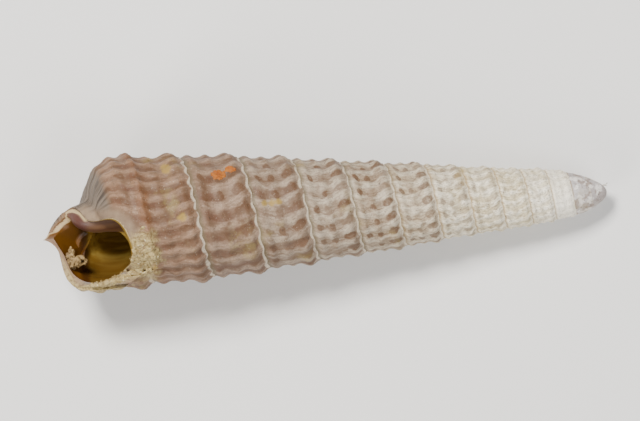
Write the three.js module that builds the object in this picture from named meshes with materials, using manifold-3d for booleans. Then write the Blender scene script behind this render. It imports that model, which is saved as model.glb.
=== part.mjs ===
// Turreted sea snail shell: a slender, right-handed spiral of about twelve and a half whorls, lying on its
// side with the aperture facing up. Millimetres, +Z up, origin at the middle of the footprint.
//
// The shell grew as one piece. Its surface is one band wound round the axis: at growth position m, counted in
// turns back from the lip, the band runs from its adapical suture (u = 0, towards the apex) to the suture of
// the next whorl (u = 1). The last turn goes on past u = 1 as the base and the siphonal spout. The lumen is
// cut out of it as a spiral tube, with an aperture and an open canal that face up.
//
// The shell is built in its own frame, with x along the axis from the spout (0) to the apex, y across and z
// out of the aperture, and then laid down.
import * as THREE from "three";
import { mergeVertices } from "three/addons/utils/BufferGeometryUtils.js";
import Module from "manifold-3d";

const wasm = await Module();
wasm.setup();

// Spire
const LENGTH = 42;
const TURNS = 12.6;
const SUTURE_AT_LIP = 7.78;
const PITCH = [4.72, -0.1986, 0.00298]; // the suture rises over the lip as a cubic of the turns back from it
const BODY_RADIUS = 4.6; // at the sutures
const BODY_ENDS_AT = 11; // where the cylinder of the last whorl turns into the cone of the spire
const BODY_BLEND = 2;
const CONE_SLOPE = 0.102;
const DOME_FROM = 38; // the worn apex is rounded from here

// Sculpture, with heights as a share of the whorl's pitch
const CORDS = [
  { at: 0.2, halfWidth: 0.2, height: 0.1 },
  { at: 0.55, halfWidth: 0.12, height: 0.04 },
  { at: 0.86, halfWidth: 0.13, height: 0.06 },
];
const RIBS_PER_TURN = 18;
const EXTRA_BODY_RIBS = 9; // the ribs crowd together on the last whorl
const RIB_LEAN = 0.65; // how far a rib lags at the middle of the whorl, in rib spacings
const RIB_HEIGHT = 0.022;

// Base and siphonal spout, as distances from the adapical suture towards the front end
const BASE_FROM = 3.85;
const BASE_DEPTH = 3.07;
const BASE_POWER = 2.6;
const SPOUT = [
  { drop: 7.04, radius: 1.15 },
  { drop: 7.5, radius: 0.9 },
  { drop: 8.0, radius: 0.82 },
  { drop: 8.26, radius: 0.45 },
];
const AXIS_CLOSE = 6; // the spout's inner end meets the axis here, inside the columella
const COLUMELLA = { radius: 0.88, from: 2.75, to: 7.2 };

// Lip and aperture
const LIP_ANGLE = THREE.MathUtils.degToRad(168); // round the axis from +y towards +z
const LIP_FLARE = 0.045;
const LIP_FLARE_TURNS = 0.22;
const LUMEN = { drop: 3.66, axial: 1.76, middle: 2.55, radial: 1.67, power: 2.4, turns: 5 };
const CANAL = { radius: 0.9, from: 1.15, to: 4.2, height: 0.25 };
const MOUTH_FLOOR = 0;
const MOUTH_TOP = 7;
const MOUTH_OUTLINE = [
  [3.2, 0.05],
  [4.9, -0.12],
  [6.0, -1.3],
  [6.25, -2.8],
  [5.3, -4.1],
  [3.8, -4.5],
  [2.5, -3.75],
  [1.5, -2.1],
  [0.75, -1.2],
  [0.55, -0.4],
  [1.2, 0.7],
  [2.2, 0.9],
];

// How the shell lies: rolled about its axis, then leant until the spire touches the surface
const ROLL = THREE.MathUtils.degToRad(5.45);
const LEAN = THREE.MathUtils.degToRad(6.4);

// Fineness
const FINE_COLUMNS = 72;
const FINE_TURNS = 2;
const COARSE_COLUMNS = 36;
const BAND_ROWS = [0, 0.1, 0.22, 0.4, 0.66, 0.86];
const BASE_ANGLES = [14, 30, 46, 60, 72, 80].map(THREE.MathUtils.degToRad);
const LUMEN_SIDES = 12;
const LUMEN_STEPS = 12;

const smoothBump = (x) => Math.cos((Math.PI / 2) * THREE.MathUtils.clamp(x, -1, 1)) ** 2;

const sutureX = (m) => SUTURE_AT_LIP + m * (PITCH[0] + m * (PITCH[1] + m * PITCH[2]));

const pitchAt = (m) => sutureX(m) - sutureX(m - 1);

// Radius of the shell without its cords and ribs.
function plainRadius(x) {
  const along = x - BODY_ENDS_AT;
  const cone = BODY_RADIUS - (CONE_SLOPE * (along + Math.hypot(along, BODY_BLEND))) / 2;
  const dome = THREE.MathUtils.clamp((x - DOME_FROM) / (LENGTH - DOME_FROM), 0, 1);
  return cone * Math.sqrt(1 - dome * dome);
}

// Ribs counted from the lip to growth position m, and the share of a rib's height at (m, u).
const ribsTo = (m) => RIBS_PER_TURN * m + EXTRA_BODY_RIBS * Math.min(m, 1);

function ribShare(m, u) {
  const lag = RIB_LEAN * Math.sin((Math.PI * Math.min(u, 1)) / 1.3);
  return 0.5 + 0.5 * Math.cos(2 * Math.PI * (ribsTo(m) - lag));
}

function relief(m, u) {
  const rib = ribShare(m, u);
  const cords = CORDS.reduce((sum, c) => sum + c.height * smoothBump((u - c.at) / c.halfWidth), 0);
  const ribbed = RIB_HEIGHT * rib * smoothBump(2 * u - 1);
  const fade = 1 - THREE.MathUtils.smoothstep(sutureX(m), DOME_FROM, LENGTH);
  return pitchAt(m) * fade * (cords * (0.7 + 0.6 * rib) + ribbed);
}

const flareAt = (m) => 1 + LIP_FLARE * Math.max(0, 1 - m / LIP_FLARE_TURNS) ** 2;

const spoutScale = (m) => 0.9 + 0.7 * Math.max(0, 1 - m / 0.5) ** 2;

// A point of the outer surface from its growth position, its distance along the axis and its radius.
function place(m, x, radius) {
  const angle = LIP_ANGLE + 2 * Math.PI * m;
  return new THREE.Vector3(x, radius * Math.cos(angle), radius * Math.sin(angle));
}

function bandPoint(m, u) {
  const x = sutureX(m) - u * pitchAt(m);
  const flare = m < 1 ? 1 + (flareAt(m) - 1) * THREE.MathUtils.smoothstep(u, 0, 0.2) : 1;
  return place(m, x, flare * (plainRadius(x) + relief(m, u)));
}

function basePoint(m, angle) {
  const across = Math.cos(angle) ** (2 / BASE_POWER);
  const down = Math.sin(angle) ** (2 / BASE_POWER);
  const x = sutureX(m) - BASE_FROM - BASE_DEPTH * down;
  return place(m, x, flareAt(m) * plainRadius(x) * across);
}

const spoutPoint = (m, s) => place(m, sutureX(m) - s.drop, s.radius * spoutScale(m));

// One profile of the last turn, from the band's last row to the spout's end.
const basePoints = (m) => [
  ...BASE_ANGLES.map((a) => basePoint(m, a)),
  ...SPOUT.map((s) => spoutPoint(m, s)),
];

function outerSurface() {
  const growth = [];
  for (let m = 0; m < FINE_TURNS - 1e-9; m += 1 / FINE_COLUMNS) growth.push(m);
  const coarseFrom = growth.length;
  for (let m = FINE_TURNS; m < TURNS + 1e-9; m += 1 / COARSE_COLUMNS) growth.push(m);
  const last = growth.length - 1;
  const step = FINE_COLUMNS / COARSE_COLUMNS;
  const rows = BAND_ROWS.length;

  const points = [];
  const faces = [];
  const add = (p) => points.push(p) - 1;
  const face = (...v) => {
    if (new Set(v).size === 3) faces.push(v);
  };
  const quad = (a, b, c, d) => {
    face(a, b, c);
    face(a, c, d);
  };

  const band = growth.map((m) => BAND_ROWS.map((u) => add(bandPoint(m, u))));
  // Where a fine turn meets the coarse one before it, every other point of the shared suture is left out.
  for (let j = coarseFrom - FINE_COLUMNS; j < coarseFrom; j += step) {
    for (let k = 1; k < step; k++) band[j + k][0] = band[j][0];
  }
  // The column one turn closer to the lip, whose first row is this column's last.
  const nextWhorl = (j) => {
    const fine = j < coarseFrom ? j : coarseFrom + (j - coarseFrom) * step;
    const before = fine - FINE_COLUMNS;
    return before <= coarseFrom ? before : coarseFrom + (before - coarseFrom) / step;
  };

  const base = growth.slice(0, FINE_COLUMNS + 1).map((m) => basePoints(m).map(add));
  const axis = add(new THREE.Vector3(AXIS_CLOSE, 0, 0));
  const tip = add(new THREE.Vector3(LENGTH, 0, 0));
  const profile = (j) => {
    if (j < FINE_COLUMNS) return [...band[j], ...base[j]];
    return [...band[j], band[nextWhorl(j)][0]];
  };

  for (let j = 0; j < last; j++) {
    const here = profile(j);
    const next = profile(j + 1);
    if (j === FINE_COLUMNS - 1) next.push(...base[FINE_COLUMNS].slice(1));
    const count = j < FINE_COLUMNS ? rows + base[j].length : rows + 1;
    for (let i = 0; i + 1 < count; i++) quad(here[i], here[i + 1], next[i + 1], next[i]);
    if (j < FINE_COLUMNS) face(here[count - 1], axis, next[count - 1]);
  }

  // The growth front at the lip, between the last profile and the one a turn before it.
  const front = [...profile(0), axis, ...base[FINE_COLUMNS].slice(1).reverse()];
  const flat = front.map((v) => new THREE.Vector2(points[v].x, Math.hypot(points[v].y, points[v].z)));
  for (const [a, b, c] of THREE.ShapeUtils.triangulateShape(flat, [])) {
    face(front[c], front[b], front[a]);
  }

  // The apex: a fan over the last turn's free edge and its end.
  const rim = [];
  for (let j = last - COARSE_COLUMNS; j <= last; j++) rim.push(band[j][0]);
  rim.push(...profile(last).slice(1, -1));
  rim.forEach((v, i) => face(v, rim[(i + 1) % rim.length], tip));

  const geometry = new THREE.BufferGeometry().setFromPoints(points);
  geometry.setIndex(faces.flat());
  return geometry;
}

// Turns the sine or cosine of a circle into that of a rounder-cornered box.
const squared = (part) => Math.sign(part) * Math.abs(part) ** (2 / LUMEN.power);

// The lumen: a tube wound round the columella, from the aperture back up the spire.
function lumenTube() {
  const loops = [];
  for (let k = -1; k <= LUMEN.turns * LUMEN_STEPS; k++) {
    const m = k / LUMEN_STEPS;
    const size = plainRadius(sutureX(m)) / BODY_RADIUS;
    const widen = 1 + 0.06 * Math.max(0, 1 - m / 0.15);
    const middle = sutureX(m) - LUMEN.drop * size;
    loops.push(
      Array.from({ length: LUMEN_SIDES }, (_, i) => {
        const w = (2 * Math.PI * i) / LUMEN_SIDES;
        const radius = size * (LUMEN.middle + LUMEN.radial * widen * squared(Math.sin(w)));
        return place(m, middle + size * LUMEN.axial * widen * squared(Math.cos(w)), radius);
      }),
    );
  }
  const points = loops.flat();
  const faces = [];
  const at = (k, i) => k * LUMEN_SIDES + (i % LUMEN_SIDES);
  for (let k = 0; k + 1 < loops.length; k++) {
    for (let i = 0; i < LUMEN_SIDES; i++) {
      faces.push(at(k, i), at(k, i + 1), at(k + 1, i + 1));
      faces.push(at(k, i), at(k + 1, i + 1), at(k + 1, i));
    }
  }
  for (const [k, turned] of [
    [0, false],
    [loops.length - 1, true],
  ]) {
    for (let i = 1; i + 1 < LUMEN_SIDES; i++) {
      const corner = [at(k, 0), at(k, i + 1), at(k, i)];
      faces.push(...(turned ? corner.reverse() : corner));
    }
  }
  const geometry = new THREE.BufferGeometry().setFromPoints(points);
  geometry.setIndex(faces);
  return geometry;
}

// The aperture and the canal as one smooth outline, cut straight out to the front.
function mouthCut() {
  const outline = new THREE.Shape();
  const [first, ...rest] = MOUTH_OUTLINE.map(([x, y]) => new THREE.Vector2(x, y));
  outline.moveTo(first.x, first.y);
  outline.splineThru([...rest, first]);
  const geometry = new THREE.ExtrudeGeometry(outline, {
    depth: MOUTH_TOP - MOUTH_FLOOR,
    bevelEnabled: false,
    curveSegments: 4,
  });
  return geometry.translate(0, 0, MOUTH_FLOOR);
}

// The round floor of the canal.
function canalCut() {
  const geometry = new THREE.CapsuleGeometry(CANAL.radius, CANAL.to - CANAL.from, 4, 12);
  return geometry.rotateZ(Math.PI / 2).translate((CANAL.from + CANAL.to) / 2, 0, CANAL.height);
}

function columella() {
  const { radius, from, to } = COLUMELLA;
  const profile = [
    new THREE.Vector2(0, from),
    new THREE.Vector2(radius * 0.6, from + 0.1),
    new THREE.Vector2(radius, from + 0.6),
    new THREE.Vector2(radius, to),
    new THREE.Vector2(0, to),
  ];
  return new THREE.LatheGeometry(profile, 16).rotateZ(-Math.PI / 2);
}

// A three.js geometry as a manifold-3d solid, and back.
function toSolid(geometry) {
  const plain = geometry.clone();
  plain.deleteAttribute("normal");
  plain.deleteAttribute("uv");
  const merged = mergeVertices(plain, 1e-5);
  return new wasm.Manifold(
    new wasm.Mesh({
      numProp: 3,
      vertProperties: merged.attributes.position.array,
      triVerts: new Uint32Array(merged.index.array),
    }),
  );
}

function toGeometry(solid) {
  const mesh = solid.getMesh();
  const geometry = new THREE.BufferGeometry();
  geometry.setAttribute("position", new THREE.BufferAttribute(mesh.vertProperties, 3));
  geometry.setIndex(new THREE.BufferAttribute(mesh.triVerts, 1));
  geometry.computeVertexNormals();
  return geometry;
}

function shellGeometry() {
  const whole = toSolid(outerSurface());
  const space = toSolid(lumenTube()).add(toSolid(mouthCut())).add(toSolid(canalCut()));
  return toGeometry(whole.subtract(space).add(toSolid(columella())));
}

// The shell rolled, leant and set down with the middle of its footprint at the origin.
function laidDown(geometry) {
  const laid = geometry.clone().rotateX(ROLL).rotateY(LEAN);
  laid.computeBoundingBox();
  const { min, max } = laid.boundingBox;
  const material = new THREE.MeshStandardMaterial({ color: 0xc4b4a2, roughness: 0.65, metalness: 0 });
  const mesh = new THREE.Mesh(geometry, material);
  mesh.rotation.set(ROLL, LEAN, 0, "YXZ");
  mesh.position.set(-(min.x + max.x) / 2, -(min.y + max.y) / 2, -min.z);
  return mesh;
}

const shell = laidDown(shellGeometry());
shell.name = "shell";

const part = new THREE.Group();
part.add(shell);

export default part;
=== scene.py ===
"""Looks of the turreted sea snail shell.

It makes the sculptured surface, the aperture, the markings and the crusts grown on the shell.

The shell is worked out in its own frame, in millimetres: x runs along the axis from the siphonal canal to
the apex, y goes across and z comes out of the aperture. A place on its surface is (m, u): m is the growth
position, in turns back from the lip, and u the distance along the axis from the adapical suture towards the
front end, as a share of the whorl's height. TO_ROW lays the finished meshes where the CAD shell lies.
"""

import math

import bmesh
import bpy
import numpy as np
from mathutils import Matrix, Vector
from mathutils.bvhtree import BVHTree
from mathutils.kdtree import KDTree


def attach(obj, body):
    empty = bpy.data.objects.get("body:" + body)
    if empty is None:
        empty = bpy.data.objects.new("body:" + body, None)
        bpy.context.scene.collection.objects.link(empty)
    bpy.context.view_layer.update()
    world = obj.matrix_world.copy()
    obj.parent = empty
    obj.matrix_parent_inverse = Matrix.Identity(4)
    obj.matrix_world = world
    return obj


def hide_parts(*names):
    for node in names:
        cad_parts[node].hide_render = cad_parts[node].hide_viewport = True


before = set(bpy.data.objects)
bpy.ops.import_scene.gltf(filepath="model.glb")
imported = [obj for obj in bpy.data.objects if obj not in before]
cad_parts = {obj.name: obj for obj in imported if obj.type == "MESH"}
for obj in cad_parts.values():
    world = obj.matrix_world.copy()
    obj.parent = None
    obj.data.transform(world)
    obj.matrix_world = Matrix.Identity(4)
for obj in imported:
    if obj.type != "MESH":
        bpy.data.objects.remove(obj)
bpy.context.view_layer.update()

MM = 0.001
TURN = 2 * math.pi

# The spire, as in the CAD shell
LENGTH = 42.0
TURNS = 12.6
SUTURE_AT_LIP = 7.78
PITCH = (4.72, -0.1986, 0.00298)
BODY_RADIUS = 4.6
BODY_ENDS_AT = 11.0
BODY_BLEND = 2.0
CONE_SLOPE = 0.102
DOME_FROM = 38.0
SMOOTH_TIP = (38.3, 41.3)  # the sculpture dies out between these, along the axis
LIP_ANGLE = math.radians(168)
LIP_FLARE = 0.045
LIP_FLARE_TURNS = 0.22
LIP_ADVANCE = 0.08  # how far the lip runs ahead at the suture, in turns
LIP_SMOOTH = 0.07  # the sculpture dies out this close to the lip, in turns
BACK_OF_LIP = 0.53  # in turns
WEAR = ((1.6, 0.10, 3), (0.45, 0.05, 5))  # size of the unevenness, height in mm, and seed

# How the shell lies
ROLL = math.radians(5.45)
LEAN = math.radians(6.4)

# Sculpture: where on the whorl, half widths towards the apex and the front end, and height as a share of
# the pitch
CORDS = (
    {"at": 0.17, "before": 0.17, "after": 0.25, "height": 0.078, "bead": 0.4},
    {"at": 0.55, "before": 0.11, "after": 0.12, "height": 0.024, "bead": 0.9},
    {"at": 0.86, "before": 0.13, "after": 0.13, "height": 0.042, "bead": 0.65},
    {"at": 1.12, "before": 0.11, "after": 0.12, "height": 0.034, "bead": 0.7},
    {"at": 1.38, "before": 0.12, "after": 0.13, "height": 0.020, "bead": 0.7},
    {"at": 1.66, "before": 0.12, "after": 0.13, "height": 0.005, "bead": 0.6},
)
RIBS_PER_TURN = 18
EXTRA_BODY_RIBS = 9  # on the last turn
RIB_LEAN = 0.65
RIB_HEIGHT = 0.02
SUTURE_WAVE = 0.012
THREAD = {"at": 0.035, "half_width": 0.035, "height": 0.018}

# Base and siphonal spout
BAND_END = 3.85  # from the suture to where the base begins, on the last whorl
BASE_DEPTH = (3.07, 3.4)  # at the lip, and half a turn behind it
BASE_POWER = (3.1, 2.6)
BASE_LAST_ANGLE = math.radians(72)
BASE_KEEL = 0.32
FOLDS_PER_TURN = 60
FOLD_HEIGHT = 0.05
SPOUT_DROP = 8.14
SPOUT_BULGE = 0.5
SPOUT_RADIUS = (0.95, 1.38)
FASCIOLE_HEIGHT = 0.12
AXIS_CLOSE = 6.0  # where the spout's inside would close on the axis, before the canal is cut
SPOUT_WALL = 0.28  # of its radius, at the rim
SPOUT_EDGE = 0.08  # how far inside the rim the wall's inner edge lies

# Aperture
MOUTH_OUTLINE = (
    (3.5, 0.15), (4.9, 0.2), (5.7, -0.5), (6.25, -2.1), (5.95, -3.2), (4.8, -4.1),
    (3.1, -4.3), (1.9, -3.6), (1.25, -2.1), (0.75, -1.2), (0.45, -0.4), (1.0, 0.5), (1.9, 1.1),
    (2.65, 0.65),
)
MOUTH_MIDDLE = (3.9, -2.1)
MOUTH_REACH = (-2.0, 6.0)  # of the cut, behind the axis and in front of it
MOUTH_SPREAD = (0.26, 0.012)  # how fast the cut narrows behind the axis and widens in front of it, per mm
CALLUS_WIDTH = (0.45, 1.25)  # whole up to the first distance from the aperture, gone at the second
CALLUS_HEIGHT = 0.07
CRUST_PATCH = ((7.2, -2.6), (1.3, 1.7))  # middle and half widths
CRUST_HEIGHT = 0.12
# Yellow stains: x, y and half width
STAINS = (
    (10.15, 0.1, 0.40), (16.3, 0.75, 0.28), (16.8, 0.75, 0.3), (17.3, 0.78, 0.25), (7.9, -3.5, 0.28),
    (9.2, 3.7, 0.42), (31.3, 1.7, 0.75), (40.2, -1.1, 0.5),
)
CANAL_PATH = ((-1.6, -0.15, 0.5), (0.2, 0.05, 0.2), (1.3, -0.1, 0.12), (2.4, -0.7, -0.3), (3.6, -1.8, -1.1))
CANAL_RADII = (1.15, 0.97, 0.86, 1.05, 1.55)
COLUMELLA_PATH = (
    (1.5, 0.85, -0.8), (2.1, 0.75, -0.4), (2.8, 0.45, -0.05), (3.7, 0.35, 0.15), (4.9, 0.35, 0.2),
    (7.4, 0, 0),
)
COLUMELLA_RADII = (0.08, 0.4, 0.8, 1.0, 1.0, 0.85)
LUMEN = {"drop": 3.66, "axial": 1.75, "middle": 2.55, "radial": 1.65, "power": 2.4, "turns": 4}
LUMEN_MOUTH = {"turns": 0.26, "axial": 0.62, "radial": 0.12, "forward": 0.35, "inward": 0.2}
RIM_REACH = (0.12, 0.45)  # the aperture's edge is rounded fully up to the first, and not past the second
SHARP_ANGLE = math.radians(50)

# Crusts: name, tint, grain, patches (middle, half widths, beads and their radii), lines of beads (points,
# beads, how far they stray and their radii) and single beads (place and radius)
CRUSTS = (
    (
        "orange_crust", "orange", 0.04,
        (((13.05, 3.05), (0.45, 0.30), 60, (0.14, 0.22)), ((13.95, 3.42), (0.42, 0.20), 40, (0.12, 0.19))),
        (),
        (),
    ),
    (
        "parietal_crust", "yellow", 0.045,
        (((7.2, -2.7), (1.05, 1.45), 150, (0.08, 0.2)), ((7.0, -1.1), (0.5, 0.9), 26, (0.06, 0.13))),
        (),
        (),
    ),
    (
        "lip_crust", "yellow", 0.05,
        (),
        (
            (((3.3, -4.45), (4.4, -4.35), (5.3, -4.1), (6.2, -3.8), (7.2, -3.4)), 70, 0.16, (0.1, 0.26)),
            (((6.2, -3.82, 2.35), (6.9, -3.7, 2.5), (7.7, -3.62, 2.5)), 70, 0.12, (0.14, 0.24)),
        ),
        (),
    ),
    (
        "aperture_crust", "tan", 0.05,
        (),
        (
            (((1.5, -3.0, 0.0), (2.0, -2.75, -0.1), (2.65, -2.65, -0.3)), 190, 0.33, (0.05, 0.15)),
            (((1.5, -2.7, 0.0), (1.7, -2.25, 0.0), (1.95, -1.85, 0.0)), 90, 0.22, (0.05, 0.12)),
        ),
        (),
    ),
    (
        "apex_speck", "white", 0.03,
        (),
        (),
        (
            (41.72, 0.47, 0.1, 0.1), (41.83, 0.55, 0.12, 0.08), (41.93, 0.58, 0.12, 0.06),
            (42.02, 0.66, 0.13, 0.05), (41.98, 0.5, 0.14, 0.05),
        ),
    ),
)
# For each tint, the material's name and how much of it is pale grains
CRUST_LOOKS = {
    "yellow": ("yellow_crust", 0.4),
    "white": ("apex_speck", 0.4),
    "tan": ("tan_crust", 0.15),
    "orange": ("orange_crust", 0.0),
}
CRUST_ROUGHNESS = ((2.4, 2.6, 61), (2.0, 6, 62))  # height and size in grains, and seed
BEAD_SUNK = 0.55  # how deep a bead of crust sits, as a share of its radius
ABOVE_SHELL = 12  # where the search for the surface under a bead starts

# Colours, in sRGB. GROUND lies between the ribs and RAISED on them, each with its growth position.
GROUND = (
    (0.0, (84, 50, 28)), (1.5, (84, 52, 32)), (3.0, (98, 72, 54)), (4.5, (134, 114, 92)),
    (6.0, (162, 144, 116)), (7.0, (194, 178, 142)), (9.0, (216, 202, 166)), (10.9, (228, 218, 194)),
    (11.4, (150, 142, 142)), (12.6, (176, 162, 148)),
)
RAISED = (
    (0.0, (136, 104, 78)), (1.5, (148, 122, 100)), (3.0, (162, 146, 126)), (4.5, (180, 168, 148)),
    (6.0, (200, 188, 166)), (7.0, (232, 224, 204)), (9.0, (248, 240, 220)), (10.9, (250, 244, 230)),
    (11.4, (210, 206, 206)), (12.6, (222, 216, 210)),
)
# Rows of brown windows: u, half length in u, and half width in ribs
MARK_ROWS = (
    (0.21, 0.15, 0.27), (0.55, 0.075, 0.22), (0.80, 0.075, 0.22), (1.10, 0.08, 0.24), (1.37, 0.07, 0.22),
)
COLOURS = {
    "striae": (84, 60, 42),
    "worn": (104, 84, 62),
    "window": (88, 56, 30),
    "dull window": (82, 58, 38),
    "band": (112, 66, 28),
    "thread": (222, 210, 186),
    # The groove colours are a greenish or golden tint with painted shade in the groove.
    "green groove and shade": (84, 74, 48),
    "golden groove and shade": (134, 102, 38),
    "apex mottle": (134, 116, 104),
    "apex white": (236, 230, 222),
    "film": (146, 130, 74),
    "speck": (60, 46, 34),
    "dark sand": (90, 72, 54),
    "pale sand": (220, 210, 190),
    "stain": (146, 118, 44),
    "fold": (52, 40, 30),
    "base": (112, 98, 84),
    "dark glaze": (92, 70, 54),
    "glaze": (142, 122, 98),
    "dark crust": (112, 92, 50),
    "crust": (164, 144, 96),
    "spout": (128, 98, 68),
    "dark amber": (84, 50, 8),
    "amber": (100, 64, 16),
    "olive": (150, 116, 44),
    # The next three colours paint light and shade in the lumen: pale streaks of light through the wall, shade
    # on its lower side and shade along its edge.
    "through-lit olive": (184, 154, 74),
    "shaded olive": (66, 42, 6),
    "lumen edge shade": (52, 26, 6),
    "dark purple": (60, 34, 30),
    "purple": (90, 58, 52),
    "spout rim": (170, 146, 108),
    "lip rim": (168, 148, 108),
    "crust pit": (92, 72, 50),
    "crust grain": (226, 218, 196),
    "dark yellow": (118, 96, 52),
    "yellow": (168, 148, 98),
    "dark white": (170, 164, 150),
    "white": (214, 210, 200),
    "dark tan": (104, 80, 44),
    "tan": (148, 122, 78),
    "dark orange": (142, 68, 0),
    "orange": (156, 90, 0),
}

# The camera looks down on the aperture, with the axis rising to the right.
VIEW_CENTRE = (20.42, -0.04, 2.0)
VIEW_WIDTH = 47.49
VIEW_TILT = math.radians(-2.5)
AXIS_RISE = math.radians(3.56)
CAMERA_DISTANCE = 0.42
SENSOR_WIDTH = 36

# Stage: name, place in metres, size, power and colour of each light
LIGHTS = (
    ("key", (-0.09, 0.14, 0.30), 0.10, 2.4, (1.0, 0.98, 0.95)),
    ("fill", (0.18, -0.17, 0.23), 0.2, 0.85, (0.95, 0.97, 1.0)),
    ("low", (-0.18, -0.18, 0.15), 0.1, 0.5, (1.0, 0.97, 0.93)),
)
WORLD_COLOUR = (0.9, 0.92, 0.95, 1)
WORLD_STRENGTH = 0.22
FLOOR_COLOUR = (0.72, 0.71, 0.69, 1)
FLOOR_REACH = 0.6

# Fineness
FINE_COLUMNS = 280
FINE_TURNS = 4
COARSE_COLUMNS = 140
BAND_STEPS = 30
RIM_SMOOTHING = 8
APEX_RINGS = (0.2, 0.4, 0.6, 0.76, 0.88, 0.96)
BASE_STEPS = 26
SPOUT_STEPS = 14


def smoothstep(x, low, high):
    t = np.clip((x - low) / (high - low), 0, 1)
    return t * t * (3 - 2 * t)


def bump(u, at, before, after):
    """A rounded bump that is 1 at `at` and 0 beyond `before` and `after` from it."""
    t = np.where(u < at, (u - at) / before, (u - at) / after)
    return np.cos(np.pi / 2 * np.clip(t, -1, 1)) ** 2


def value_noise(points, scale, seed):
    """Smooth noise between 0 and 1 at an array of points, with bumps about `scale` across."""
    p = np.asarray(points) / scale
    cell = np.floor(p).astype(np.int64)
    t = p - cell
    t = t * t * (3 - 2 * t)
    total = np.zeros(p.shape[:-1])
    for corner in np.ndindex(*(2,) * p.shape[-1]):
        c = cell + np.array(corner)
        h = np.full(total.shape, seed * 374761393, dtype=np.int64)
        for k in range(p.shape[-1]):
            h = (h ^ (c[..., k] * (668265263 + 2 * k))) * 1274126177 & 0x7FFFFFFF
            h ^= h >> 13
        weight = np.prod(np.where(np.array(corner) == 1, t, 1 - t), axis=-1)
        total += weight * ((h & 0xFFFF) / 65535)
    return total


# ---------------------------------------------------------------- the shell's surface


def suture_x(m):
    return SUTURE_AT_LIP + m * (PITCH[0] + m * (PITCH[1] + m * PITCH[2]))


def pitch_at(m):
    return suture_x(m) - suture_x(m - 1)


def plain_radius(x):
    along = x - BODY_ENDS_AT
    cone = BODY_RADIUS - CONE_SLOPE * (along + np.hypot(along, BODY_BLEND)) / 2
    dome = np.clip((x - DOME_FROM) / (LENGTH - DOME_FROM), 0, 1)
    return cone * np.sqrt(1 - dome * dome)


def rib_phase(m, u):
    """Ribs counted from the lip: a whole number on each rib's crest."""
    lean = RIB_LEAN * np.sin(np.pi * np.minimum(u, 1.3) / 1.3)
    return RIBS_PER_TURN * m + EXTRA_BODY_RIBS * np.minimum(m, 1) - lean


def relief(m, u):
    """Height of the cords, beads, ribs and suture thread, in millimetres."""
    phase = rib_phase(m, u)
    own = value_noise(np.stack(np.broadcast_arrays(phase, u * 2), -1), 1.0, 11) - 0.5
    rib = 0.5 + 0.5 * np.cos(TURN * (phase + 0.12 * own))
    total = RIB_HEIGHT * rib * (bump(u, 0.5, 0.5, 0.5) + bump(u, 1.25, 0.3, 0.5))
    for c in CORDS:
        beads = 1 - c["bead"] / 2 + c["bead"] * rib * (1 + 0.5 * own)
        total = total + c["height"] * beads * bump(u, c["at"], c["before"], c["after"])
    total = total + THREAD["height"] * bump(u, THREAD["at"], THREAD["half_width"], THREAD["half_width"])
    fade = 1 - smoothstep(suture_x(m), *SMOOTH_TIP)
    return pitch_at(m) * total * fade


def place(m, x, radius):
    angle = LIP_ANGLE + TURN * m
    return np.stack(np.broadcast_arrays(x, radius * np.cos(angle), radius * np.sin(angle)), -1)


def wear(points):
    """Small unevenness of the whole surface, in millimetres."""
    return sum(height * (value_noise(points, size, seed) - 0.5) for size, height, seed in WEAR)


def flare(m):
    return 1 + LIP_FLARE * np.clip(1 - m / LIP_FLARE_TURNS, 0, 1) ** 2


def back_share(m):
    """0 at the lip, 1 half a turn behind it and beyond."""
    return np.clip(m / BACK_OF_LIP, 0, 1)


def mouth_distance(points):
    """Distance from points to the aperture's outline, seen from the front, in millimetres."""
    outline = closed_curve(MOUTH_OUTLINE, 90)
    flat = points[..., :2].reshape(-1, 2)
    closest = np.full(len(flat), np.inf)
    for corner in outline:
        closest = np.minimum(closest, np.hypot(*(flat - corner).T))
    return closest.reshape(points.shape[:-1])


def crust_cover(points):
    """1 where the yellowish granular crust covers the shell beside the inner lip and on the lower rim."""
    ragged = 0.8 * (value_noise(points, 0.9, 41) - 0.5) + 0.5 * (value_noise(points, 0.3, 43) - 0.5)
    x, y, z = points[..., 0], points[..., 1], points[..., 2]
    (middle_x, middle_y), (half_x, half_y) = CRUST_PATCH
    patch = 1 - smoothstep(np.hypot((x - middle_x) / half_x, (y - middle_y) / half_y) + ragged, 0.6, 1.15)
    low_rim = smoothstep(-y, 2.8, 4.2) * (1 - smoothstep(np.abs(x - 3.4) / 2.6 + ragged, 0.8, 1.1))
    return np.maximum(patch * smoothstep(z, 0.5, 1.5), low_rim * smoothstep(z, -1.2, 0))


def stain_cover(points):
    """1 in the yellow patches of film on the side that faces out of the aperture."""
    flat = points[..., :2]
    ragged = 0.9 * (value_noise(points, 0.3, 47) - 0.5) + 0.4 * (value_noise(points, 0.7, 48) - 0.5)
    total = np.zeros(points.shape[:-1])
    for x, y, half in STAINS:
        distance = np.hypot(flat[..., 0] - x, flat[..., 1] - y) / half
        total = np.maximum(total, 1 - smoothstep(distance + ragged, 0.6, 1.1))
    return total * (points[..., 2] > 0)


def callus(points):
    """1 where the smooth glaze beside the inner lip covers the sculpture, 0 beyond it."""
    low, high = CALLUS_WIDTH
    return (1 - smoothstep(mouth_distance(points), low, high)) * smoothstep(points[..., 2], 0.3, 1.2)


def sculpture_at(m, from_lip, u, plain):
    """Height of everything on the plain surface: sculpture, or glaze where the callus covers it."""
    glaze = callus(plain)
    fresh = 0.25 + 0.75 * smoothstep(from_lip, -0.01, LIP_SMOOTH)
    crust = CRUST_HEIGHT * crust_cover(plain) * (0.4 + 0.6 * value_noise(plain, 0.22, 31))
    return relief(m, u) * (1 - glaze) * fresh + CALLUS_HEIGHT * glaze + crust + wear(plain)


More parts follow.
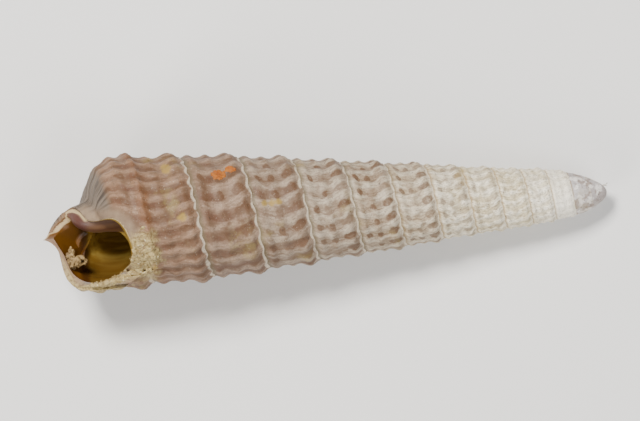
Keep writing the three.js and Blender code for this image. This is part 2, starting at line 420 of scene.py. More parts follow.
def slid(m, toward_suture):
    """A vertex's growth position, with the lip run ahead at the suture and the whorl above it in step."""
    near_lip = 1 - smoothstep(m, 0, 0.25)
    above_lip = smoothstep(m, 0.75, 1) * (1 - smoothstep(m, 1, 1.25))
    return m - LIP_ADVANCE * np.where(m < 0.5, near_lip, above_lip) * toward_suture


def keel(m):
    """How far the base's shoulder stands out past the whorl's side, in millimetres."""
    return BASE_KEEL * (1 - smoothstep(m, 0.9, 1.0)) * smoothstep(m, -0.1, 0.12)


def suture_wave(m, u):
    """How far a whorl's ribs push the suture above it towards the apex, and the next suture with them."""
    upper = np.cos(TURN * rib_phase(m, 0 * m)) * (1 - smoothstep(u, 0, 0.14))
    lower = np.cos(TURN * rib_phase(m - 1, 0 * m)) * smoothstep(u, 0.86, 1.0)
    fade = 1 - smoothstep(m, TURNS - 3, TURNS - 2)
    return SUTURE_WAVE * pitch_at(m) * (upper + np.where(m < 1, 0, lower)) * fade * smoothstep(m, 0, 0.1)


def band_point(m, u):
    """A point of the band at column m, and its growth position."""
    toward = np.where(m < 0.5, 1 - smoothstep(u, 0, 0.5), smoothstep(u, 0.2, 0.94))
    at = slid(m, toward)
    x = suture_x(at) - u * pitch_at(at) + suture_wave(at, u)
    widen = np.where(m < 1, 1 + (flare(m) - 1) * smoothstep(u, 0, 0.2), 1.0)
    r = widen * plain_radius(x) + np.where(m < 1, keel(m) * smoothstep(u, 0.5, 0.95), 0)
    return place(at, x, r + sculpture_at(at, m, u, place(at, x, r))), at


def base_profile(m, from_lip, angle):
    """Distance along the axis and radius of the plain base."""
    back = back_share(from_lip)
    power = BASE_POWER[0] + (BASE_POWER[1] - BASE_POWER[0]) * back
    depth = BASE_DEPTH[0] + (BASE_DEPTH[1] - BASE_DEPTH[0]) * back
    x = suture_x(m) - BAND_END - depth * np.sin(angle) ** (2 / power)
    shoulder = flare(from_lip) * plain_radius(suture_x(m) - BAND_END) + keel(from_lip)
    return x, shoulder * np.cos(angle) ** (2 / power)


def base_point(m, angle):
    """A point of the base at column m, its growth position and its share of the whorl's height."""
    at = slid(m, np.where(m < 0.5, 0, 1 - smoothstep(angle, 0, math.radians(50))))
    x, r = base_profile(at, m, angle)
    steps = np.hypot(np.diff(x, axis=1, prepend=x[:, :1]), np.diff(r, axis=1, prepend=r[:, :1]))
    u = (BAND_END + np.cumsum(steps, axis=1)) / pitch_at(at)
    folds = value_noise(np.stack(np.broadcast_arrays(m * FOLDS_PER_TURN, angle), -1), 1.0, 21) - 0.5
    lift = sculpture_at(at, m, u, place(at, x, r)) + FOLD_HEIGHT * folds * np.sin(angle)
    outward = np.minimum(angle, math.radians(80))
    return place(at, x - lift * np.sin(outward), r + lift * np.cos(outward)), at, u


def spout_point(m, s):
    """From the base's end (s = 0) round the neck and out along the spout to its rim (s = 1)."""
    last = BASE_LAST_ANGLE + 0 * m
    x0, r0 = base_profile(m, m, last)
    end_x = suture_x(m) - SPOUT_DROP - SPOUT_BULGE * bump(m, 0.28, 0.28, 0.28)
    end_r = SPOUT_RADIUS[0] + (SPOUT_RADIUS[1] - SPOUT_RADIUS[0]) * back_share(m)
    neck_x = x0 - 0.06
    mid_r = 1.06 * end_r
    a, b = (1 - s) ** 3, 3 * s * (1 - s) ** 2
    c, d = 3 * s * s * (1 - s), s**3
    x = a * x0 + b * neck_x + c * (neck_x + end_x) / 2 + d * end_x
    r = a * r0 + b * (0.45 * r0 + 0.55 * mid_r) + c * mid_r + d * end_r
    fasciole = FASCIOLE_HEIGHT * bump(m, 0.62, 0.12, 0.2) * bump(s, 0.55, 0.3, 0.3)
    return place(m, x, r + fasciole)


class Builder:
    """Gathers vertices and faces of one mesh."""

    def __init__(self):
        self.points = []
        self.places = []
        self.faces = []
        self.count = 0

    def add(self, points, m=0.0, u=0.0):
        """Adds an array of points, with their places on the shell, and returns the array of their numbers."""
        points = np.asarray(points, dtype=float)
        numbers = self.count + np.arange(points.size // 3).reshape(points.shape[:-1])
        self.points.append(points.reshape(-1, 3))
        m, u, _ = np.broadcast_arrays(m, u, numbers)
        self.places.append(np.column_stack([m.ravel(), u.ravel()]))
        self.count += numbers.size
        return numbers

    def quads(self, a, b):
        """Faces between two columns of vertex numbers."""
        for k in range(len(a) - 1):
            face = [a[k], a[k + 1], b[k + 1], b[k]]
            kept = [v for n, v in enumerate(face) if v != face[n - 1]]
            if len(kept) > 2:
                self.faces.append(kept)

    def mesh(self, name):
        mesh = bpy.data.meshes.new(name)
        faces = [[int(v) for v in face] for face in self.faces]
        mesh.from_pydata(np.concatenate(self.points).tolist(), [], faces)
        mesh.validate()
        return mesh


def outer_surface():
    """The closed outside of the shell, filled in: the band wound round the axis, the base and the spout."""
    fine = np.arange(FINE_COLUMNS * FINE_TURNS) / FINE_COLUMNS
    coarse = FINE_TURNS + np.arange(int((TURNS - FINE_TURNS) * COARSE_COLUMNS) + 1) / COARSE_COLUMNS
    growth = np.concatenate([fine, coarse])
    turn_from = len(fine)
    step = FINE_COLUMNS // COARSE_COLUMNS
    last = len(growth) - 1
    build = Builder()

    # Rows of the band: on the last turn they end where the base begins.
    v = np.linspace(0, 1, BAND_STEPS + 1)[:-1]
    rows = v[None, :] * np.where(growth < 1, BAND_END / pitch_at(growth), 1.0)[:, None]
    points, at = band_point(growth[:, None], rows)
    band = build.add(points, at, rows)
    for j in range(turn_from - FINE_COLUMNS, turn_from, step):
        band[j : j + step, 0] = band[j, 0]

    m = np.append(fine[:FINE_COLUMNS], 1.0)
    angles = BASE_LAST_ANGLE * np.linspace(0, 1, BASE_STEPS + 1) ** 1.8
    points, at, u = base_point(m[:, None], angles[None, :])
    base = build.add(points, at, u)
    reach = np.linspace(0, 1, SPOUT_STEPS + 1)[1:]
    points = spout_point(m[:, None], reach[None, :])
    turned_in = points[:, -1:] * (1, 1 - SPOUT_WALL, 1 - SPOUT_WALL) + (SPOUT_EDGE, 0, 0)
    points = np.concatenate([points, turned_in], axis=1)
    spout = build.add(points, m[:, None], u[:, -1:] + 0.4 * np.append(reach, 1.1))
    axis = build.add([[AXIS_CLOSE, 0, 0]], 0.5, 2)[0]
    tip = build.add([[LENGTH, 0, 0]], TURNS, 1)[0]

    def next_whorl(j):
        """The column one turn closer to the lip."""
        full = j if j < turn_from else turn_from + (j - turn_from) * step
        before = full - FINE_COLUMNS
        return before if before <= turn_from else turn_from + (before - turn_from) // step

    def profile(j):
        if j < FINE_COLUMNS:
            return [*band[j], *base[j], *spout[j], axis]
        return [*band[j], band[next_whorl(j), 0]]

    for j in range(last):
        here, there = profile(j), profile(j + 1)
        if j == FINE_COLUMNS - 1:
            there = [*band[j + 1], *base[j + 1], *spout[j + 1], axis]
            there[BAND_STEPS] = band[0, 0]
        build.quads(here, there)

    front = [*profile(0), *spout[FINE_COLUMNS][::-1], *base[FINE_COLUMNS][:0:-1]]
    build.faces.append(front[::-1])

    # The apex: rings from the last turn's free edge to the tip.
    first = last - COARSE_COLUMNS
    edge = growth[first:, None]
    x = suture_x(edge) + np.array(APEX_RINGS) * (LENGTH - suture_x(edge))
    points = place(edge, x, plain_radius(x))
    cap = build.add(points + 0.4 * wear(points)[..., None] * (0, 1, 1), edge, 0.5)
    columns = [[band[j, 0], *cap[j - first]] for j in range(first, last + 1)]
    for a, b in zip(columns, columns[1:]):
        build.quads(b, a)
        build.faces.append([a[-1], b[-1], tip])
    build.faces.append([*band[last], columns[0][0], columns[0][1], columns[-1][1]])
    build.quads(columns[0][1:], columns[-1][1:])
    build.faces.append([columns[-1][-1], columns[0][-1], tip])
    return build.mesh("outer_surface"), np.concatenate(build.points), np.concatenate(build.places)


# ---------------------------------------------------------------- the aperture


def loft(loops, name):
    """A closed mesh through a series of loops with the same number of points, outward-facing."""
    loops = np.asarray(loops)
    build = Builder()
    at = build.add(loops)
    ring = np.concatenate([at, at[:, :1]], axis=1)
    for k in range(len(at) - 1):
        build.quads(ring[k], ring[k + 1])
    build.faces.append([*at[0]])
    build.faces.append([*at[-1][::-1]])
    mesh = build.mesh(name)
    solid = bmesh.new()
    solid.from_mesh(mesh)
    bmesh.ops.recalc_face_normals(solid, faces=solid.faces)
    solid.to_mesh(mesh)
    solid.free()
    return mesh


def closed_curve(points, count):
    """A smooth closed curve through the points (Catmull-Rom), evenly stepped between them."""
    p = np.asarray(points, dtype=float)
    n = len(p)
    where = np.arange(count) * n / count
    k = where.astype(int)
    t = (where - k)[:, None]
    a, b, c, d = (p[(k + o) % n] for o in (-1, 0, 1, 2))
    return 0.5 * (2 * b + (c - a) * t + (2 * a - 5 * b + 4 * c - d) * t**2 + (3 * b - a - 3 * c + d) * t**3)


def open_curve(points, count):
    """A smooth open curve through the points."""
    p = np.asarray(points, dtype=float)
    p = np.concatenate([[2 * p[0] - p[1]], p, [2 * p[-1] - p[-2]]])
    where = np.linspace(0, len(p) - 3 - 1e-9, count)
    k = where.astype(int)
    t = (where - k)[:, None]
    a, b, c, d = (p[k + o] for o in (0, 1, 2, 3))
    return 0.5 * (2 * b + (c - a) * t + (2 * a - 5 * b + 4 * c - d) * t**2 + (3 * b - a - 3 * c + d) * t**3)


def squared(part, power):
    return np.sign(part) * np.abs(part) ** (2 / power)


def lumen_tube():
    """The space inside: a tube wound round the columella, as wide as the mouth where it opens."""
    sides, steps = 64, 48
    w = TURN * np.arange(sides) / sides
    loops = []
    for k in range(LUMEN["turns"] * steps + 1):
        m = k / steps
        size = plain_radius(suture_x(m)) / BODY_RADIUS
        open_share = 1 - smoothstep(m, 0, LUMEN_MOUTH["turns"])
        axial = size * (LUMEN["axial"] + LUMEN_MOUTH["axial"] * open_share)
        radial = size * (LUMEN["radial"] + LUMEN_MOUTH["radial"] * open_share)
        middle = suture_x(m) - size * LUMEN["drop"] - LUMEN_MOUTH["forward"] * open_share
        x = middle + axial * squared(np.cos(w), LUMEN["power"])
        centre = size * LUMEN["middle"] - LUMEN_MOUTH["inward"] * open_share
        r = centre + radial * squared(np.sin(w), LUMEN["power"])
        loops.append(place(m, x, r))
    return loft(loops, "lumen")


def mouth_cut():
    """The aperture's outline, cut straight out to the front and a little wider there."""
    outline = closed_curve(MOUTH_OUTLINE, 180)
    loops = []
    behind, before = MOUTH_SPREAD
    for z in np.linspace(*MOUTH_REACH, 60):
        spread = 1 + (before if z > 0 else behind) * z
        xy = MOUTH_MIDDLE + spread * (outline - MOUTH_MIDDLE)
        loops.append(np.column_stack([xy, np.full(len(xy), z)]))
    return loft(loops, "mouth")


def tube_along(path, radii, sides, name):
    """A tube of changing radius along a path that runs roughly along x."""
    w = TURN * np.arange(sides) / sides
    ahead = np.gradient(path, axis=0)
    ahead /= np.linalg.norm(ahead, axis=1)[:, None]
    across = np.cross(ahead, [0, 0, 1.0])
    across /= np.linalg.norm(across, axis=1)[:, None]
    above = np.cross(across, ahead)
    ring = np.cos(w)[None, :, None] * across[:, None] + np.sin(w)[None, :, None] * above[:, None]
    return loft(path[:, None] + radii[:, None, None] * ring, name)


def canal_cut():
    path = open_curve(CANAL_PATH, 60)
    radii = open_curve([(r,) for r in CANAL_RADII], 60)[:, 0]
    return tube_along(path, radii, 64, "canal")


def columella():
    path = open_curve(COLUMELLA_PATH, 60)
    radii = open_curve([(r,) for r in COLUMELLA_RADII], 60)[:, 0]
    return tube_along(path, radii, 48, "columella")


def combine(target, other, operation):
    """Joins or cuts one closed mesh with another."""
    tool = bpy.data.objects.new("tool", other)
    bpy.context.collection.objects.link(tool)
    cut = target.modifiers.new("combine", "BOOLEAN")
    cut.operation = operation
    cut.solver = "MANIFOLD"
    cut.object = tool
    shape = bpy.data.meshes.new_from_object(target.evaluated_get(bpy.context.evaluated_depsgraph_get()))
    target.modifiers.clear()
    target.data = shape
    bpy.data.objects.remove(tool)


def tree_of(points):
    tree = KDTree(len(points))
    for k, p in enumerate(points):
        tree.insert(p, k)
    tree.balance()
    return tree


def nearest(tree, points):
    """For each point the number of the nearest one in the tree, and its distance."""
    found = [tree.find(p)[1:] for p in points]
    return np.array([k for k, _ in found]), np.array([d for _, d in found])


def vertex_array(mesh):
    points = np.empty(len(mesh.vertices) * 3)
    mesh.vertices.foreach_get("co", points)
    return points.reshape(-1, 3)


def add_attribute(mesh, name, values):
    layer = mesh.attributes.new(name, "FLOAT", "POINT")
    layer.data.foreach_set("value", np.asarray(values, dtype=np.float32))


def add_corner_pair(mesh, name, first, second):
    layer = mesh.uv_layers.new(name=name, do_init=False)
    layer.data.foreach_set("uv", np.column_stack([first, second]).astype(np.float32).ravel())


def mark_growth(mesh, places):
    """Stores on each face corner its place on the shell, and in a pair with 0 its rib phase."""
    corner_vertex = np.empty(len(mesh.loops), dtype=np.int64)
    mesh.loops.foreach_get("vertex_index", corner_vertex)
    starts = np.empty(len(mesh.polygons), dtype=np.int64)
    mesh.polygons.foreach_get("loop_start", starts)
    sizes = np.diff(np.append(starts, len(mesh.loops)))
    m, u = places[corner_vertex].T
    highest = np.repeat(np.maximum.reduceat(m, starts), sizes)
    across_suture = highest - m > 0.5
    m = m + across_suture
    u = u + across_suture
    add_corner_pair(mesh, "growth", m, u)
    add_corner_pair(mesh, "ribs", rib_phase(m, u), 0 * m)


def shell_object():
    outer, outer_points, places = outer_surface()
    made = bpy.data.objects.new("spiral_shell", outer)
    bpy.context.collection.objects.link(made)
    for cutter in (lumen_tube(), mouth_cut(), canal_cut()):
        combine(made, cutter, "DIFFERENCE")
    combine(made, columella(), "UNION")

    mesh = made.data
    points = vertex_array(mesh)
    match, gap = nearest(tree_of(outer_points), points)
    mark_growth(mesh, places[match])
    inner = gap > 1e-3
    ends = np.empty(len(mesh.edges) * 2, dtype=np.int64)
    mesh.edges.foreach_get("vertices", ends)
    ends = ends.reshape(-1, 2)
    crossing = inner[ends[:, 0]] != inner[ends[:, 1]]
    rim = np.unique(ends[crossing])
    rim = rim[inner[rim]]
    _, to_rim = nearest(tree_of(points[rim]), points)
    add_attribute(mesh, "inner", inner)
    add_attribute(mesh, "depth", to_rim)
    path = open_curve(COLUMELLA_PATH, 200)
    radii = open_curve([(r,) for r in COLUMELLA_RADII], 200)[:, 0]
    along, off = nearest(tree_of(path), points)
    add_attribute(mesh, "columella", inner * (1 - smoothstep(off - radii[along], 0.0, 0.12)))
    add_attribute(mesh, "callus", np.where(inner, 0, callus(points)))
    add_attribute(mesh, "crusted", crust_cover(points) * np.where(inner, 1 - smoothstep(to_rim, 0.1, 0.4), 1))
    add_attribute(mesh, "stained", np.where(inner, 0, stain_cover(points)))
    add_attribute(mesh, "along", points[:, 0])
    add_attribute(mesh, "across", points[:, 1])

    group = made.vertex_groups.new(name="rim")
    strength = 1 - smoothstep(to_rim, *RIM_REACH)
    for v in np.flatnonzero(strength > 0.02):
        group.add([int(v)], float(strength[v]), "REPLACE")
    soften = made.modifiers.new("soften", "SMOOTH")
    soften.factor = 0.5
    soften.iterations = RIM_SMOOTHING
    soften.vertex_group = "rim"
    shape = bpy.data.meshes.new_from_object(made.evaluated_get(bpy.context.evaluated_depsgraph_get()))
    made.modifiers.clear()
    made.data = shape
    return made


# ---------------------------------------------------------------- materials


def srgb(red, green, blue):
    """A colour given as 0 to 255 in sRGB, in the linear values that shaders take."""
    parts = [c / 255 for c in (red, green, blue)]
    return tuple(c / 12.92 if c <= 0.04045 else ((c + 0.055) / 1.055) ** 2.4 for c in parts) + (1.0,)


TINTS = {name: srgb(*colour) for name, colour in COLOURS.items()}


class Value:
    """A number, vector or colour in a node tree, so that a formula of nodes reads as one."""

    def __init__(self, tree, socket):
        self.tree = tree
        self.socket = socket

    def feed(self, socket, value):
        if isinstance(value, Value):
            self.tree.links.new(value.socket, socket)
        else:
            socket.default_value = value

    def calc(self, operation, other=0.0):
        node = self.tree.nodes.new("ShaderNodeMath")
        node.operation = operation
        self.feed(node.inputs[0], self)
        self.feed(node.inputs[1], other)
        return Value(self.tree, node.outputs[0])

    def __add__(self, other):
        return self.calc("ADD", other)

    def __sub__(self, other):
        return self.calc("SUBTRACT", other)

    def __mul__(self, other):
        return self.calc("MULTIPLY", other)

    def flip(self):
        """One minus the value."""
        return self.calc("MULTIPLY", -1.0) + 1.0

    def rise(self, low, high):
        """Climbs smoothly from 0 at `low` to 1 at `high`, or falls where low is above high."""
        node = self.tree.nodes.new("ShaderNodeMapRange")
        node.interpolation_type = "SMOOTHSTEP"
        self.feed(node.inputs["Value"], self)
        node.inputs["From Min"].default_value = min(low, high)
        node.inputs["From Max"].default_value = max(low, high)
        node.inputs["To Min"].default_value = 0.0 if low < high else 1.0
        node.inputs["To Max"].default_value = 1.0 if low < high else 0.0
        return Value(self.tree, node.outputs["Result"])

    def near(self, at, full, gone):
        """1 within `full` of a value, 0 beyond `gone` from it."""
        return (self - at).calc("ABSOLUTE").rise(gone, full)


class Recipe:
    """A material, with short ways to add its nodes."""

    def __init__(self, name):
        self.material = bpy.data.materials.new(name)
        self.material.use_nodes = True
        self.tree = self.material.node_tree
        self.shader = self.tree.nodes["Principled BSDF"]

    def node(self, kind, inputs, output, **settings):
        made = self.tree.nodes.new(kind)
        for key, value in settings.items():
            setattr(made, key, value)
        for key, value in inputs.items():
            Value(self.tree, None).feed(made.inputs[key], value)
        return Value(self.tree, made.outputs[output])

    def pair(self, name):
        """The two numbers of a corner pair."""
        both = self.node("ShaderNodeUVMap", {}, "UV", uv_map=name)
        return [self.node("ShaderNodeSeparateXYZ", {"Vector": both}, axis) for axis in "XY"]

    def attribute(self, name):
        return self.node("ShaderNodeAttribute", {}, "Fac", attribute_name=name)

    def vector(self, x, y, z=0.0):
        return self.node("ShaderNodeCombineXYZ", {"X": x, "Y": y, "Z": z}, "Vector")

    def noise(self, vector, scale, detail=2.0):
        return self.node("ShaderNodeTexNoise", {"Vector": vector, "Scale": scale, "Detail": detail}, "Fac")

    def place(self):
        """Where a point is, in millimetres."""
        own = self.node("ShaderNodeTexCoord", {}, "Object")
        node = self.tree.nodes.new("ShaderNodeVectorMath")
        node.operation = "SCALE"
        own.feed(node.inputs[0], own)
        node.inputs["Scale"].default_value = 1 / MM
        return Value(self.tree, node.outputs[0])

    def random(self, x, y):
        """A number between 0 and 1 for each pair of whole numbers."""
        inputs = {"Vector": self.vector(x, y)}
        return self.node("ShaderNodeTexWhiteNoise", inputs, "Value", noise_dimensions="2D")

    def mix(self, share, first, second):
        node = self.tree.nodes.new("ShaderNodeMix")
        node.data_type = "RGBA"
        made = Value(self.tree, node.outputs[2])
        for socket, value in zip((node.inputs[0], node.inputs[6], node.inputs[7]), (share, first, second)):
            made.feed(socket, value)
        return made

    def ramp(self, value, stops):
        """A colour that changes with a value between 0 and 1."""
        node = self.tree.nodes.new("ShaderNodeValToRGB")
        value.feed(node.inputs[0], value)
        bar = node.color_ramp.elements
        while len(bar) < len(stops):
            bar.new(0.5)
        for element, (at, colour) in zip(bar, stops):
            element.position = at
        for element, (at, colour) in zip(bar, stops):
            element.color = colour
        return Value(self.tree, node.outputs["Color"])

    def finish(self, colour, roughness, bump, depth):
        self.tree.links.new(colour.socket, self.shader.inputs["Base Color"])
        Value(self.tree, None).feed(self.shader.inputs["Roughness"], roughness)
        inputs = {"Height": bump, "Distance": depth * MM, "Strength": 1.0}
        normal = self.node("ShaderNodeBump", inputs, "Normal")
        self.tree.links.new(normal.socket, self.shader.inputs["Normal"])
        return self.material


def shell_material():
    r = Recipe("shell")
    m, u = r.pair("growth")
    phase = r.pair("ribs")[0]
    place_mm = r.place()
    inner = r.attribute("inner").rise(0.3, 0.7)
    wobble = r.noise(place_mm, 1.4) - 0.5
    drift = r.noise(place_mm, 0.9, 1.0) - 0.5
    u_wavy = u + drift * 0.12
    gap = (phase + wobble * 0.5).calc("FRACT") - 0.5
    off_rib = gap.calc("ABSOLUTE")
    number = (phase + wobble * 0.5).calc("FLOOR")
    whorl = m * (1 / TURNS)

    # Ground, with white ribs, and everything paler towards the apex
    ground = r.ramp(whorl, [(at / TURNS, srgb(*colour)) for at, colour in GROUND])
    raised = r.ramp(whorl, [(at / TURNS, srgb(*colour)) for at, colour in RAISED])
    striae = r.noise(r.vector(phase * 9.0, u * 6.0), 1.0, 3.0)
    whole = m.rise(11.2, 10.2)
    blotch = r.noise(place_mm, 0.45, 3.0)
    chalk = r.noise(r.vector(phase * 2.6 + wobble, u * 4.2, whorl * 90.0), 1.0, 4.0)
    rib = off_rib.rise(0.12, 0.40) * chalk.rise(0.30, 0.58) * whole
    colour = r.mix(blotch.rise(0.35, 0.7) * 0.55, ground, raised)
    colour = r.mix(rib * 0.70, colour, raised)
    colour = r.mix(striae.rise(0.55, 0.35) * whole * 0.40, colour, TINTS["striae"])
    colour = r.mix(chalk.rise(0.52, 0.36) * whole * 0.30, colour, TINTS["worn"])

    # Brown windows and spots in the spaces between the ribs, joined by a thin wavy line
    marks = None
    for row, (at, length, width) in enumerate(MARK_ROWS):
        chance = r.random(number, float(row)).rise(-0.4 if row == 0 else 0.0, 0.6)
        across = (gap + (u - at) * 0.35) * (1 / width)
        along = (u_wavy - at) * (1 / length)
        spread = (across * across + along * along).calc("SQRT")
        mark = spread.rise(1.15, 0.8) * chance
        marks = mark if marks is None else marks.calc("MAXIMUM", mark)
    line = (gap + wobble * 0.4 - 0.12).near(0, 0.02, 0.07) * u.rise(0.30, 0.36) * u.rise(0.9, 0.8)
    marks = marks.calc("MAXIMUM", line * 0.6)
    fade = m.rise(9.5, 4.5) * 0.80 + 0.10
    mottle = r.noise(place_mm, 3.5, 3.0).rise(0.25, 0.6) * 0.35 + 0.65
    brown = r.mix(r.noise(place_mm, 0.8), TINTS["window"], TINTS["dull window"])
    colour = r.mix(marks * fade * mottle, colour, brown)

    band = (u + drift * 0.2).near(0.84, 0.03, 0.12) * m.rise(1.15, 0.95) * blotch.rise(0.3, 0.55)
    colour = r.mix(band * 0.5, colour, TINTS["band"])

    # White thread below the suture, and a dark greenish line in the groove above the next: the shell's
    # greenish tint together with painted shade in the groove below the suture's step
    scallop = gap * gap * 0.10
    thread = (u + scallop + drift * 0.08).rise(0.058, 0.030) * chalk.rise(0.30, 0.50)
    colour = r.mix(thread * 0.5, colour, TINTS["thread"])
    # The dark groove line is partly painted shade in the groove.
    groove = (u + drift * 0.05).rise(0.90, 0.985) * u.rise(1.04, 1.0) * m.rise(0.9, 1.0)
    groove_tint = r.mix(m.rise(4.5, 7.5), TINTS["green groove and shade"], TINTS["golden groove and shade"])
    colour = r.mix(groove * 0.65, colour, groove_tint)

    # Mottles on the apex, film, dark specks, sand and stains
    mottles = r.noise(place_mm, 1.7, 2.0).rise(0.50, 0.60) * m.rise(10.9, 11.2)
    colour = r.mix(mottles * 0.7, colour, TINTS["apex mottle"])
    whitish = r.noise(place_mm, 1.5, 2.0).rise(0.52, 0.62) * m.rise(11.0, 11.5)
    colour = r.mix(whitish * 0.7, colour, TINTS["apex white"])
    film = r.noise(place_mm, 0.33, 4.0).rise(0.56, 0.72) * r.noise(place_mm, 2.2).rise(0.3, 0.6)
    colour = r.mix(film * 0.40, colour, TINTS["film"])
    speck = r.noise(place_mm, 5.5, 1.0).rise(0.68, 0.74)
    colour = r.mix(speck * 0.6, colour, TINTS["speck"])
    sand = r.noise(place_mm, 9.0, 2.0)
    colour = r.mix(sand.rise(0.5, 0.3) * 0.35, colour, TINTS["dark sand"])
    colour = r.mix(sand.rise(0.60, 0.80) * 0.20, colour, TINTS["pale sand"])
    stained = r.attribute("stained") * (m.rise(7.5, 5.0) * 0.55 + 0.2)
    colour = r.mix(stained, colour, TINTS["stain"])

    # The grey base with its fine folds, the callus and the crust
    base = u.rise(1.30, 1.50) * m.rise(1.0, 0.99)
    folds = r.noise(r.vector(m * 75.0, u * 1.2), 1.0, 2.0)
    grey = r.mix(folds.rise(0.3, 0.7), TINTS["fold"], TINTS["base"])
    colour = r.mix(base, colour, grey)
    glaze = r.mix(r.noise(place_mm, 1.3, 3.0), TINTS["dark glaze"], TINTS["glaze"])
    colour = r.mix(r.attribute("callus"), colour, glaze)
    grain = r.noise(place_mm, 5.0, 4.0)
    crust = r.mix(grain.rise(0.35, 0.6), TINTS["dark crust"], TINTS["crust"])
    crusted = r.attribute("crusted")
    colour = r.mix(crusted, colour, crust)

    # The spout near its rim
    depth = r.attribute("depth")
    along = r.attribute("along")
    lip = (depth + wobble * 0.2).rise(0.8, 0.2) * along.rise(2.6, 1.4)
    colour = r.mix(lip * 0.85, colour, TINTS["spout"])

    # Inside: amber at the canal, dark olive beyond it with pale streaks of painted light shining through the
    # thin wall, purple on the columella, pale at the rim. Painted shade darkens the olive towards the lumen's
    # lower side and lays a dark line where the canal meets the lumen.
    streak_at = r.node(
        "ShaderNodeMapping", {"Vector": place_mm, "Scale": (0.25, 2.2, 2.2)}, "Vector", vector_type="POINT"
    )
    streak = r.noise(streak_at, 1.0, 2.0)
    amber = r.mix(r.noise(place_mm, 1.2), TINTS["dark amber"], TINTS["amber"])
    # Pale streaks along the axis: painted light showing through the thinner wall.
    olive = r.mix(streak.rise(0.35, 0.65), TINTS["olive"], TINTS["through-lit olive"])
    # Painted shade: the olive darkens towards the lumen's lower side.
    olive = r.mix(r.attribute("across").rise(-1.6, -3.2) * 0.9, olive, TINTS["shaded olive"])
    inside = r.mix((along + drift * 0.8).rise(2.5, 3.4), amber, olive)
    # Painted shade: a dark line along the lumen's edge, where the canal gives way to it.
    inside = r.mix((along + drift * 0.4).near(2.8, 0.1, 0.5) * 0.75, inside, TINTS["lumen edge shade"])
    purple = r.mix(streak, TINTS["dark purple"], TINTS["purple"])
    inside = r.mix(r.attribute("columella") * along.rise(1.3, 2.1) * 0.9, inside, purple)
    depth_wavy = depth + wobble * 0.12
    rim = r.mix(along.rise(2.2, 3.2), depth_wavy.rise(0.16, 0.05), depth_wavy.rise(0.30, 0.08))
    edge = r.mix(along.rise(1.0, 4.0), TINTS["spout rim"], TINTS["lip rim"])
    inside = r.mix(rim, inside, edge)
    inside = r.mix(crusted, inside, crust)
    colour = r.mix(inner, colour, inside)

    # Relief too fine for the mesh
    grit = r.noise(place_mm, 7.0, 3.0)
    outside_bump = striae * whole * 0.5 + grit * 0.35 + folds * base * 0.6 + grain * crusted * 0.8
    bump = outside_bump * inner.flip() + (grit * 0.06 + grain * crusted * 0.8) * inner
    gloss = inner * rim.flip() * crusted.flip()
    r.shader.inputs["Specular IOR Level"].default_value = 0.35
    return r.finish(colour, gloss * -0.20 + 0.62, bump, 0.06)


# ---------------------------------------------------------------- crusts grown on the shell


def bead(solid, place_at, radius):
    bmesh.ops.create_icosphere(solid, subdivisions=2, radius=radius, matrix=Matrix.Translation(place_at))


def crust_piece(name, spots, surface, material, grain):
    """One closed granular crust made of beads.

    A spot is x, y, z and radius. Without a z it is sunk in the surface below it.
    """
    solid = bmesh.new()
    for x, y, z, radius in spots:
        if z is None:
            hit, normal, _, _ = surface.ray_cast(Vector((x, y, ABOVE_SHELL)), Vector((0, 0, -1)))
            bead(solid, hit - normal * radius * BEAD_SUNK, radius)
        else:
            bead(solid, Vector((x, y, z)), radius)
    mesh = bpy.data.meshes.new(name)
    solid.to_mesh(mesh)
    solid.free()
    made = bpy.data.objects.new(name, mesh)
    bpy.context.collection.objects.link(made)
    merge = made.modifiers.new("merge", "REMESH")
    merge.mode = "VOXEL"
    merge.voxel_size = grain
    shape = bpy.data.meshes.new_from_object(made.evaluated_get(bpy.context.evaluated_depsgraph_get()))
    made.modifiers.clear()
    made.data = shape

    points = vertex_array(shape)
    normals = np.empty(len(points) * 3)
    shape.vertices.foreach_get("normal", normals)
    rough = sum(
        height * grain * (value_noise(points, size * grain, seed) - 0.5)
        for height, size, seed in CRUST_ROUGHNESS
    )
    shape.vertices.foreach_set("co", (points + normals.reshape(-1, 3) * rough[:, None]).ravel())
    shape.transform(TO_ROW)
    for polygon in shape.polygons:
        polygon.use_smooth = True
    shape.materials.append(material)
    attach(made, "root")
    return made


def scattered(random, middle, half, count, radii):
    """Spots strewn over an ellipse, thinning out to its edge."""
    spots = []
    for _ in range(count):
        angle = random.uniform(0, TURN)
        reach = random.uniform(0, 1) ** 0.6
        x = middle[0] + half[0] * reach * math.cos(angle)
        y = middle[1] + half[1] * reach * math.sin(angle)
        spots.append((x, y, None, random.uniform(*radii)))
    return spots


def along_line(random, points, count, spread, radii):
    """Spots strewn beside a line of points, which may have a height or none."""
    line = open_curve([p[:2] for p in points], count)
    heights = open_curve([(p[2],) for p in points], count)[:, 0] if len(points[0]) > 2 else [None] * count
    spots = []
    for (x, y), z in zip(line, heights):
        aside = random.uniform(-spread, spread, 3)
        height = None if z is None else z + aside[2]
        spots.append((x + aside[0], y + aside[1], height, random.uniform(*radii)))
    return spots


def crust_material(name, dark, light, specks):
    r = Recipe(name)
    place_mm = r.place()
    coarse = r.noise(place_mm, 1.8, 3.0)
    fine = r.noise(place_mm, 7.0, 3.0)
    colour = r.mix(coarse.rise(0.3, 0.7), dark, light)
    colour = r.mix(fine.rise(0.5, 0.3) * 0.5, colour, TINTS["crust pit"])
    colour = r.mix(fine.rise(0.58, 0.72) * specks, colour, TINTS["crust grain"])
    return r.finish(colour, fine * 0.2 + 0.65, fine * 0.8 + coarse * 0.4, 0.05)


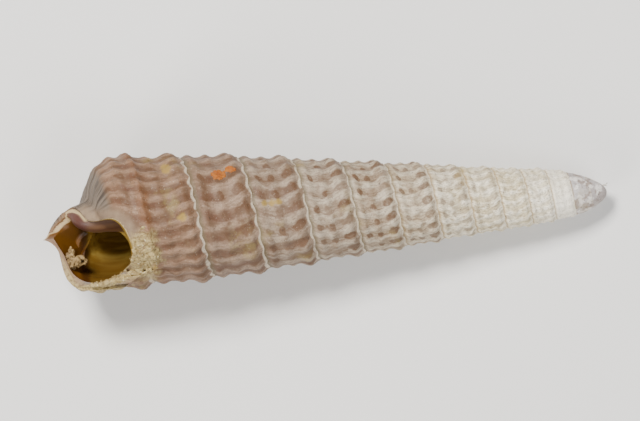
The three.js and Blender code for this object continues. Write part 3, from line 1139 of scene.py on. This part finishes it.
def make_crusts(surface):
    random = np.random.default_rng(5)
    materials = {
        tint: crust_material(name, TINTS["dark " + tint], TINTS[tint], specks)
        for tint, (name, specks) in CRUST_LOOKS.items()
    }
    for name, tint, grain, patches, lines, beads in CRUSTS:
        spots = []
        for patch in patches:
            spots += scattered(random, *patch)
        for line in lines:
            spots += along_line(random, *line)
        crust_piece(name, [*spots, *beads], surface, materials[tint], grain)


# ---------------------------------------------------------------- placing, camera and stage


def own_to_row():
    """The matrix from the shell's own frame, in millimetres, to the row frame, in metres."""
    turn = Matrix.Rotation(LEAN, 4, "Y") @ Matrix.Rotation(ROLL, 4, "X")
    axis = turn.to_3x3() @ Vector((1, 0, 0))
    corners = [v.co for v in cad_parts["shell"].data.vertices]
    tip = max(corners, key=axis.dot)
    start = tip - axis * LENGTH * MM
    return Matrix.Translation(start) @ turn @ Matrix.Scale(MM, 4)


TO_ROW = own_to_row()


def make_camera():
    turn = TO_ROW.to_3x3().normalized()
    own_y, own_z = turn @ Vector((0, 1, 0)), turn @ Vector((0, 0, 1))
    back = Matrix.Rotation(VIEW_TILT, 3, own_y) @ own_z
    level = own_y.cross(back)
    right = math.cos(AXIS_RISE) * level - math.sin(AXIS_RISE) * own_y
    up = back.cross(right)
    camera = bpy.data.objects.new("camera", bpy.data.cameras.new("camera"))
    camera.data.sensor_width = SENSOR_WIDTH
    camera.data.lens = SENSOR_WIDTH * CAMERA_DISTANCE / (VIEW_WIDTH * MM)
    camera.data.clip_start = 0.01
    place_at = TO_ROW @ Vector(VIEW_CENTRE) + back * CAMERA_DISTANCE
    basis = Matrix((right, up, back)).transposed().to_4x4()
    camera.matrix_world = Matrix.Translation(place_at) @ basis
    bpy.context.collection.objects.link(camera)
    bpy.context.scene.camera = camera


def make_light(name, place_at, size, power, colour):
    data = bpy.data.lights.new(name, "AREA")
    data.size = size
    data.energy = power
    data.color = colour
    lamp = bpy.data.objects.new(name, data)
    lamp.location = place_at
    lamp.rotation_euler = Vector(place_at).to_track_quat("Z", "Y").to_euler()
    bpy.context.collection.objects.link(lamp)


def make_stage():
    mesh = bpy.data.meshes.new("floor")
    corners = [(FLOOR_REACH * x, FLOOR_REACH * y, 0) for x, y in ((-1, -1), (1, -1), (1, 1), (-1, 1))]
    mesh.from_pydata(corners, [], [(0, 1, 2, 3)])
    floor = bpy.data.objects.new("floor", mesh)
    material = bpy.data.materials.new("floor")
    material.use_nodes = True
    shader = material.node_tree.nodes["Principled BSDF"]
    shader.inputs["Base Color"].default_value = FLOOR_COLOUR
    shader.inputs["Roughness"].default_value = 0.9
    mesh.materials.append(material)
    bpy.context.collection.objects.link(floor)
    for light in LIGHTS:
        make_light(*light)
    world = bpy.data.worlds.new("studio")
    world.use_nodes = True
    background = world.node_tree.nodes["Background"]
    background.inputs["Color"].default_value = WORLD_COLOUR
    background.inputs["Strength"].default_value = WORLD_STRENGTH
    bpy.context.scene.world = world


make_camera()
make_stage()

shell = shell_object()
corners = [v.co for v in shell.data.vertices]
make_crusts(BVHTree.FromPolygons(corners, [p.vertices for p in shell.data.polygons]))
shell.data.transform(TO_ROW)
for polygon in shell.data.polygons:
    polygon.use_smooth = True
shell.data.set_sharp_from_angle(angle=SHARP_ANGLE)
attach(shell, "root")
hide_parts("shell")
shell.data.materials.clear()
shell.data.materials.append(shell_material())
